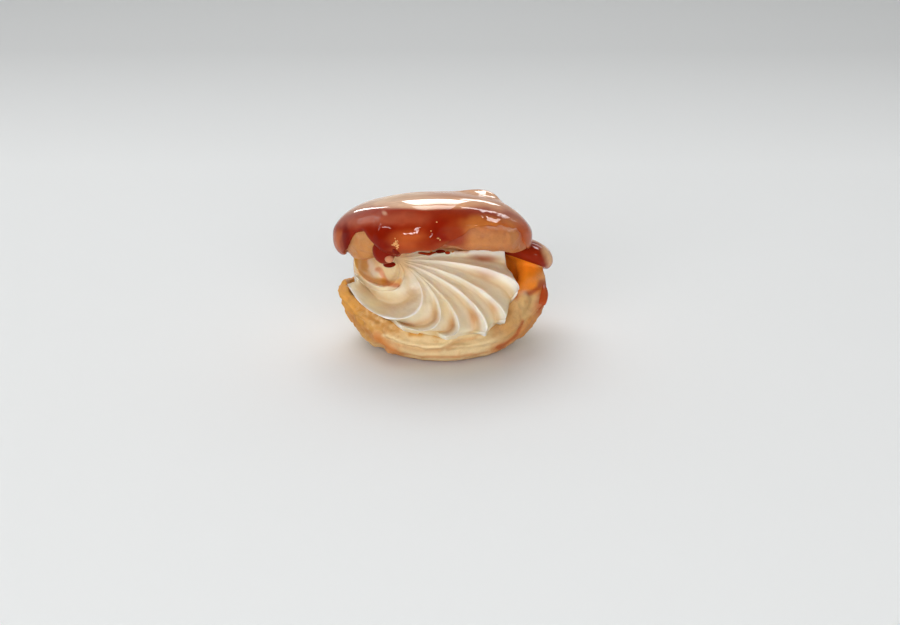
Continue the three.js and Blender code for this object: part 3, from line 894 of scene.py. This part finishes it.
# where the glaze has run down the front in ribs: path, width and height
RIBS = [
    ([(-17.6, 35.6), (-17.9, 33.2), (-17.8, 30.4)], 3.0, 0.62),
    ([(-31.8, 35.5), (-30.6, 32.5), (-29.6, 28)], 1.4, 0.12),
]
# where it has pooled in bulges, or hollows between them: middle, half sizes and height
BULGES = [
    ((-8.5, 28.6), (9.5, 5.4), 0.85),
    ((1.0, 32.0), (4.5, 5.0), -0.3),
    ((-13, 36.4), (5, 2.0), -0.25),
]
# where it has been wiped off the front, and is rough beside that: middle, half sizes, turn and softness
WIPED, ROUGH = ((17.0, 31.5), (13, 6.0), 0, 0.8), ((15.5, 36.2), (6.0, 1.8), -6, 0.5)
FULL, BARE = 0.95, 0.12  # shares of its thickness: as it is, and where it has been wiped off


def lid_thickness(p):
    """Thinner where it has been wiped off the front, and in ribs and bulges where it has run."""
    seen = on_front(p)
    front = ease(5, -5, p[:, 1])
    run = bumps(p, *RUN_WAVES)
    for path, width, height in RIBS:
        run = run + height * stroke(seen, path, width) * front
    for middle, radii, height in BULGES:
        run = run + height * spot(seen, middle, radii) * front
    wiped = spot(seen, *WIPED) * front
    rough = bumps(p, *ROUGHNESS) * spot(seen, *ROUGH) * front
    return GLAZE_THICKNESS * mix(FULL, BARE, wiped) + run * (1 - wiped) + rough


def lobe_thickness(p):
    return GLAZE_THICKNESS * (FULL + bumps(p, *LOBE_WAVES))


# painted highlight along the lobe's right rim: middle, half sizes, turn and softness
LOBE_RIM_HIGHLIGHT = (33.1, 25.1), (2.25, 7.0), 18, 0.6


def glaze_colours(p, normal):
    """Amber where the glaze is thin, dark red where it has pooled, with a painted reflection and a painted
    rim highlight.
    """
    seen = wavy_on_front(p, *GLAZE_WAVES)
    front = facing(normal, 0.0, 0.3) * ease(0.985, 0.93, normal[:, 2])
    amber = mix(srgb(224, 160, 112), srgb(255, 216, 178), ease(4, -16, p[:, 0]))
    brown = srgb(158, 62, 24)
    colour = mix(amber, brown, 0.3 * ease(-0.3, 0.9, fbm(p, 12.0, 2, 141)))
    colour = mix(colour, brown, 0.9 * ease(0.85, 0.5, normal[:, 2]))
    radii = np.array(LOBE_RADII) + GLAZE_THICKNESS
    from_lobe = np.linalg.norm((p - LOBE_CENTRE) @ LOBE_TURN / radii, axis=1)
    on_lid = ease(1.05, 1.3, from_lobe)
    lid = mix(colour, lid_tones_and_sheen(seen, colour, front), on_lid)
    # the lobe's dark glaze, with a painted highlight along its right rim
    lobe = mix(srgb(134, 34, 10), srgb(224, 174, 126), spot(seen, *LOBE_RIM_HIGHLIGHT))
    return mix(mix(colour, lobe, facing(normal, 0.0, 0.4)), lid, on_lid)


# drips that hang from the lid: centre and half sizes
DRIPS = [
    (DRIP_CENTRE, DRIP_RADII),
    (DRIP_CENTRE + (3.6, 0.3, 1.4), np.array([1.8, 1.8, 3.6])),
]
DARK_RED, BLACK_RED, FOAM = srgb(156, 52, 20), srgb(112, 20, 6), srgb(226, 168, 108)
# runs of caramel on what lies under them: path on the front, width, height and colour
RUNS = [
    ([(30.5, 17.4), (30.9, 15.2), (30.3, 12.4), (29.2, 9.8)], 2.4, 0.55, srgb(176, 74, 34)),
    ([(-7.6, 27.0), (-4.4, 26.5), (-2.0, 27.2)], 1.1, 0.4, DARK_RED),
]
# drops of it: middle on the front, half sizes across, up and out, and colour
DROPS = [
    # the first black-red drop, in the notch under the lid's edge, is dark caramel and also painted shade for
    # that notch
    ((-0.8, 27.3), (1.5, 1.1, 0.5), BLACK_RED), ((1.4, 27.0), (0.8, 0.5, 0.4), DARK_RED),
    ((-14.2, 27.2), (0.9, 1.4, 0.6), BLACK_RED), ((-16.3, 25.1), (1.3, 1.1, 1.1), srgb(206, 140, 104)),
    ((-16.2, 23.4), (1.9, 0.9, 0.8), BLACK_RED),
    ((-1.9, 36.3), (0.22, 0.22, 0.2), FOAM), ((-3.6, 33.6), (0.2, 0.2, 0.2), FOAM),
    ((-1.5, 31.4), (0.4, 0.22, 0.22), FOAM), ((-0.9, 30.9), (0.22, 0.22, 0.22), FOAM),
    ((-3.6, 27.4), (0.35, 0.6, 0.35), FOAM), ((3.0, 27.3), (0.3, 0.5, 0.3), FOAM),
]
# foam at the drip: its middle on the front, how far its bubbles are strewn across and up, their number, and
# their smallest and largest half size
FOAM_AT, FOAM_SPREAD, BUBBLES, BUBBLE_SIZES = (-14.2, 29.8), (0.45, 0.75), 26, (0.14, 0.3)
RUN_STEPS, RUN_SMOOTHING = 30, 12  # places along a run, and rounds of smoothing of its path


def foam():
    """Drops of foam, strewn about one place."""
    random = np.random.default_rng(7)
    return [(tuple(random.normal(FOAM_AT, FOAM_SPREAD)), (size, size, size), FOAM)
            for size in random.uniform(*BUBBLE_SIZES, BUBBLES)]


def run_on(tree, path, width, height):
    """A rounded run that lies on a surface along a path on the front."""
    at = np.linspace(0, len(path) - 1, RUN_STEPS)
    across, up = (np.interp(at, np.arange(len(path)), v) for v in zip(*path))
    middle, normal = (np.array(v) for v in zip(*(place_seen(tree, u, v) for u, v in zip(across, up))))
    for _ in range(RUN_SMOOTHING):
        for v in (middle, normal):
            v[1:-1] = (v[:-2] + 2 * v[1:-1] + v[2:]) / 4
    side = np.cross(np.gradient(middle, axis=0), normal)
    side /= np.linalg.norm(side, axis=1, keepdims=True)

    def place(along, azimuth):
        step, steps = along * (RUN_STEPS - 1), np.arange(RUN_STEPS)
        m, n, w = (np.stack([np.interp(step, steps, v[:, k]) for k in range(3)], 1)
                   for v in (middle, normal, side))
        a = np.radians(azimuth)[:, None]
        full = np.sqrt(1 - np.abs(2 * along - 1) ** 3)[:, None]
        return m + (w * np.cos(a) * width / 2 + n * np.sin(a) * height) * full

    return grid_on(place, *RUN_GRID)


def drop_on(tree, middle, sizes):
    """A drop that lies half sunk in the surface at a place on the front."""
    point, normal = place_seen(tree, *middle)
    side = np.cross(UPWARD, normal)
    side /= np.linalg.norm(side)
    turn = np.stack([side, np.cross(normal, side), normal], 1)
    return grid_on(egg_surface(point, sizes, turn), *DROP_GRID)


def make_glaze(*under):
    """The glaze, with small runs and drops that lie on it and on the pieces under it."""
    lid = sheet(lid_surface, lid_edge, lid_thickness, *LID_SHEET)
    lobe = sheet(lobe_surface, lobe_edge, lobe_thickness, *LOBE_SHEET)
    drips = [grid_on(egg_surface(centre, radii), *DRIP_GRID) for centre, radii in DRIPS]
    poured = joined(lid, lobe, *drips)
    surfaces = [(points_of(o), [tuple(f.vertices) for f in o.data.polygons]) for o in under]
    points, faces = joined(poured, *surfaces)
    tree = BVHTree.FromPolygons(points.tolist(), faces)
    small = [run_on(tree, path, width, height) for path, width, height, _ in RUNS]
    drops = DROPS + foam()
    small += [drop_on(tree, middle, sizes) for middle, sizes, _ in drops]
    obj = new_object("caramel_coat", *joined(poured, *small))
    colours = glaze_colours(points_of(obj), normals_of(obj))
    start = len(poured[0])
    for (points, _), (*_, tone) in zip(small, RUNS + drops):
        colours[start:start + len(points)] = tone
        start += len(points)
    colour_attribute(obj, "tint", colours)
    return as_piece(obj, glaze_material(), "caramel_glaze")


# ---------------------------------------------------------------- floor, light and camera
FLOOR_REACH, FLOOR_COLOUR = 3.0, (0.88, 0.888, 0.89)  # metres out from the puff, and linear colour
# painted shade: the floor's colour is darkened behind the puff
FLOOR_PAINTED_FALLOFF = 0.2, 0.45, 1.0, 0.8  # metres behind the puff between which it dims, and from and to what share


def make_stage():
    mesh = bpy.data.meshes.new("floor")
    corners = [(x * FLOOR_REACH, y * FLOOR_REACH, 0) for x, y in ((-1, -1), (1, -1), (1, 1), (-1, 1))]
    mesh.from_pydata(corners, [], [(0, 1, 2, 3)])
    floor = bpy.data.objects.new("floor", mesh)
    bpy.context.scene.collection.objects.link(floor)
    n = Nodes("pale_floor")
    away = n.add("SeparateXYZ", Vector=n.place()).outputs["Y"]
    share = n.mapped(away, *FLOOR_PAINTED_FALLOFF)
    falloff_shaded_colour = n.add("VectorMath", operation="SCALE", Vector=FLOOR_COLOUR, Scale=share)
    n.shade(Base_Color=falloff_shaded_colour.outputs["Vector"], Roughness=0.6, Specular_IOR_Level=0.0)
    mesh.materials.append(n.material)


# Soft boxes: azimuth, elevation and roll in degrees, distance, width and height in metres, brightness as the
# strength of a world, and whether it lights surfaces or is only mirrored in glossy ones.
LIGHTS = {
    "softbox_front": (264, 17, 0, 1.2, 1.7, 0.7, 3.6, "lights"),
    "softbox_top": (120, 70, 0, 1.2, 1.2, 0.8, 2.3, "lights"),
    "window": (90, 20, 0, 1.0, 0.22, 0.31, 8.4, "mirrored"),
    "window_low": (91, 43, 0, 1.0, 0.30, 0.32, 11.0, "mirrored"),
    "window_left": (106, 15, 0, 1.0, 0.03, 0.36, 14.0, "mirrored"),
    "window_right": (65, 28, 46, 1.0, 0.48, 0.08, 12.5, "mirrored"),
    "window_far": (83, 6, 0, 1.0, 0.13, 0.08, 5.0, "mirrored"),
    "strip_front": (236, 43, 20, 1.0, 0.62, 0.05, 76.0, "mirrored"),
    "strip_right": (318, 15, -14, 1.0, 0.5, 0.04, 40.0, "mirrored"),
    "panel_right": (32, 46, 0, 1.0, 0.26, 0.26, 32.0, "mirrored"),
    "panel_left": (145, 33, 0, 1.0, 0.5, 0.3, 2.6, "mirrored"),
    "strip_left": (194, 30, 0, 1.0, 0.10, 0.6, 20.0, "mirrored"),
}


def add_light(name, azimuth, elevation, roll, distance, width, height, brightness, use):
    """A soft box that faces the puff's foot."""
    light = bpy.data.lights.new(name, "AREA")
    light.shape = "RECTANGLE"
    light.size, light.size_y = width, height
    light.energy = brightness * width * height * math.pi
    obj = bpy.data.objects.new(name, light)
    a, e = math.radians(azimuth), math.radians(elevation)
    away = Vector((math.cos(a) * math.cos(e), math.sin(a) * math.cos(e), math.sin(e)))
    obj.location = away * distance
    turn = away.to_track_quat("Z", "Y").to_matrix() @ Matrix.Rotation(math.radians(roll), 3, "Z")
    obj.rotation_euler = turn.to_euler()
    obj.visible_diffuse = use == "lights"
    obj.visible_glossy = use == "mirrored"
    obj.visible_transmission = obj.visible_glossy
    bpy.context.scene.collection.objects.link(obj)


ROOM_COLOUR = 0.98, 1.0, 0.99, 1
# the room's brightness: an axis of the direction, its values between which it changes, and from and to what
ROOM = ("Y", 0.0, 0.9, 0.12, 0.80), ("Z", 0.0, 0.5, 0.65, 1.15)


def make_light():
    """A pale room, bright above and behind and dim on the camera's side, with soft boxes."""
    world = bpy.data.worlds.new("studio")
    bpy.context.scene.world = world
    world.use_nodes = True
    tree = world.node_tree
    background = tree.nodes["Background"]
    background.inputs["Color"].default_value = ROOM_COLOUR
    direction = tree.nodes.new("ShaderNodeSeparateXYZ")
    tree.links.new(tree.nodes.new("ShaderNodeTexCoord").outputs["Generated"], direction.inputs[0])
    product = tree.nodes.new("ShaderNodeMath")
    product.operation = "MULTIPLY"
    for socket, (axis, *ends) in zip(product.inputs, ROOM):
        ramp = tree.nodes.new("ShaderNodeMapRange")
        tree.links.new(direction.outputs[axis], ramp.inputs["Value"])
        for key, value in zip(("From Min", "From Max", "To Min", "To Max"), ends):
            ramp.inputs[key].default_value = value
        tree.links.new(ramp.outputs["Result"], socket)
    tree.links.new(product.outputs["Value"], background.inputs["Strength"])
    for name, light in LIGHTS.items():
        add_light(name, *light)


def make_camera():
    data = bpy.data.cameras.new("camera")
    data.sensor_width = SENSOR
    data.lens = FOCAL
    data.clip_end = 20
    camera = bpy.data.objects.new("camera", data)
    camera.location = (EYE + CENTRED) * MM
    camera.rotation_euler = (math.pi / 2 - EYE_DOWN, 0, 0)
    bpy.context.scene.collection.objects.link(camera)
    bpy.context.scene.camera = camera


make_camera()
make_stage()
make_light()
make_glaze(make_choux(), make_cream())
bpy.context.scene.view_settings.view_transform = "Standard"
